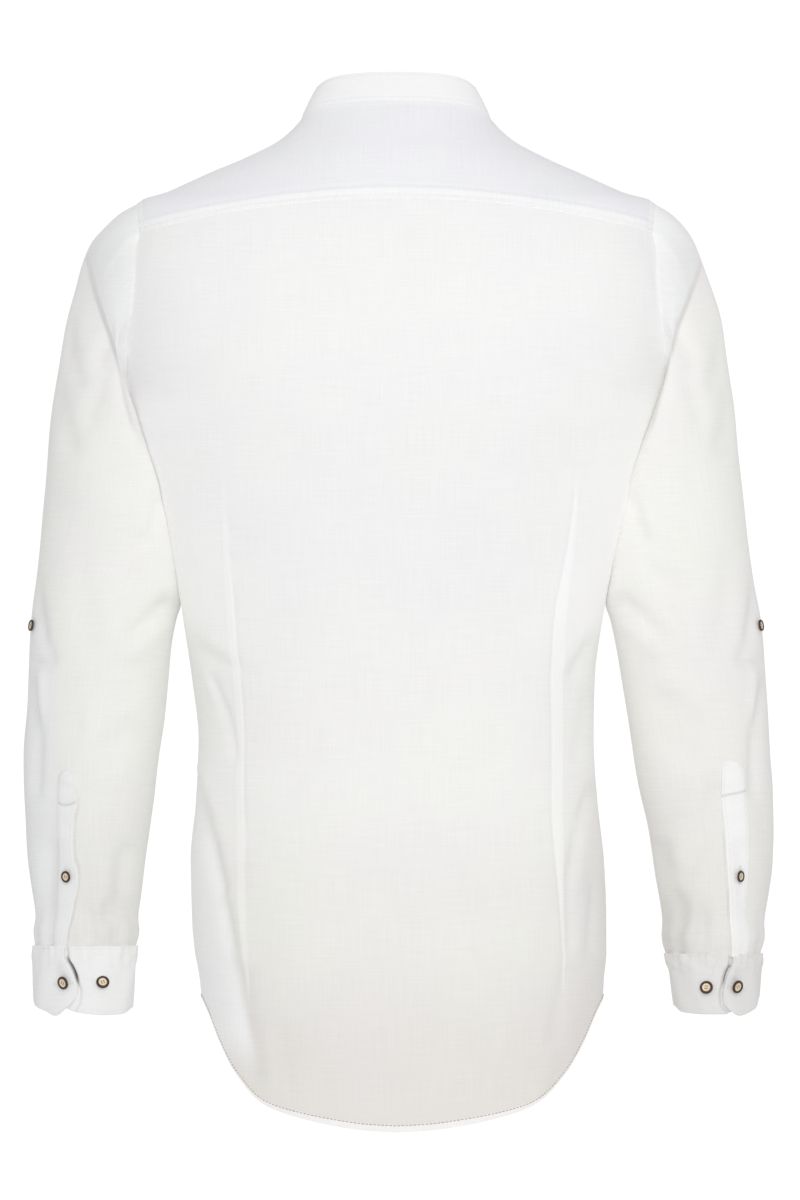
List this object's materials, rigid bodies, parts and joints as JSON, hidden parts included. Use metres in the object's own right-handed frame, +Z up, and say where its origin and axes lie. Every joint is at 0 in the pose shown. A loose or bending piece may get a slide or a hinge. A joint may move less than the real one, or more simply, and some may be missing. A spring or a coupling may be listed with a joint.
{
  "type": "shirt",
  "caption": "Long-sleeved white linen shirt with a band collar, a back yoke, button cuffs and a curved hem, hollow and filled out as if worn.",
  "frame": {"origin": "middle of the neck, level with the shoulder neck points, where the wearer's neck passes through the collar", "axes": "+Z up, -Y out of the front of the shirt, +Y out of the back, +X to the wearer's left"},
  "size_m": [0.585, 0.2728, 0.828],
  "materials": {
    "back_linen": "fine plain linen weave with slubs, matte",
    "front_linen": "fine plain linen weave with slubs, matte",
    "yoke_linen": "double linen weave, matte, slightly cool",
    "sleeve_linen": "fine plain linen weave with slubs, matte",
    "trim_linen": "several layers of linen with edge stitching, matte",
    "buttons": "horn look, satin, cream with a dark brown rim"
  },
  "bodies": {
    "root": {"back": "back_linen", "yoke": "yoke_linen", "front_left": "front_linen", "front_right": "front_linen", "front_placket": "trim_linen", "collar": "trim_linen", "sleeve_left": "sleeve_linen", "cuff_left": "trim_linen", "sleeve_placket_left": "trim_linen", "sleeve_right": "sleeve_linen", "cuff_right": "trim_linen", "sleeve_placket_right": "trim_linen", "button_front_1": "buttons", "button_front_2": "buttons", "button_front_3": "buttons", "button_front_4": "buttons", "button_front_5": "buttons", "button_front_6": "buttons", "button_front_7": "buttons", "button_collar": "buttons", "button_placket_left": "buttons", "button_cuff_left_1": "buttons", "button_cuff_left_2": "buttons", "button_rollup_left": "buttons", "button_placket_right": "buttons", "button_cuff_right_1": "buttons", "button_cuff_right_2": "buttons", "button_rollup_right": "buttons"}
  },
  "joints": []
}
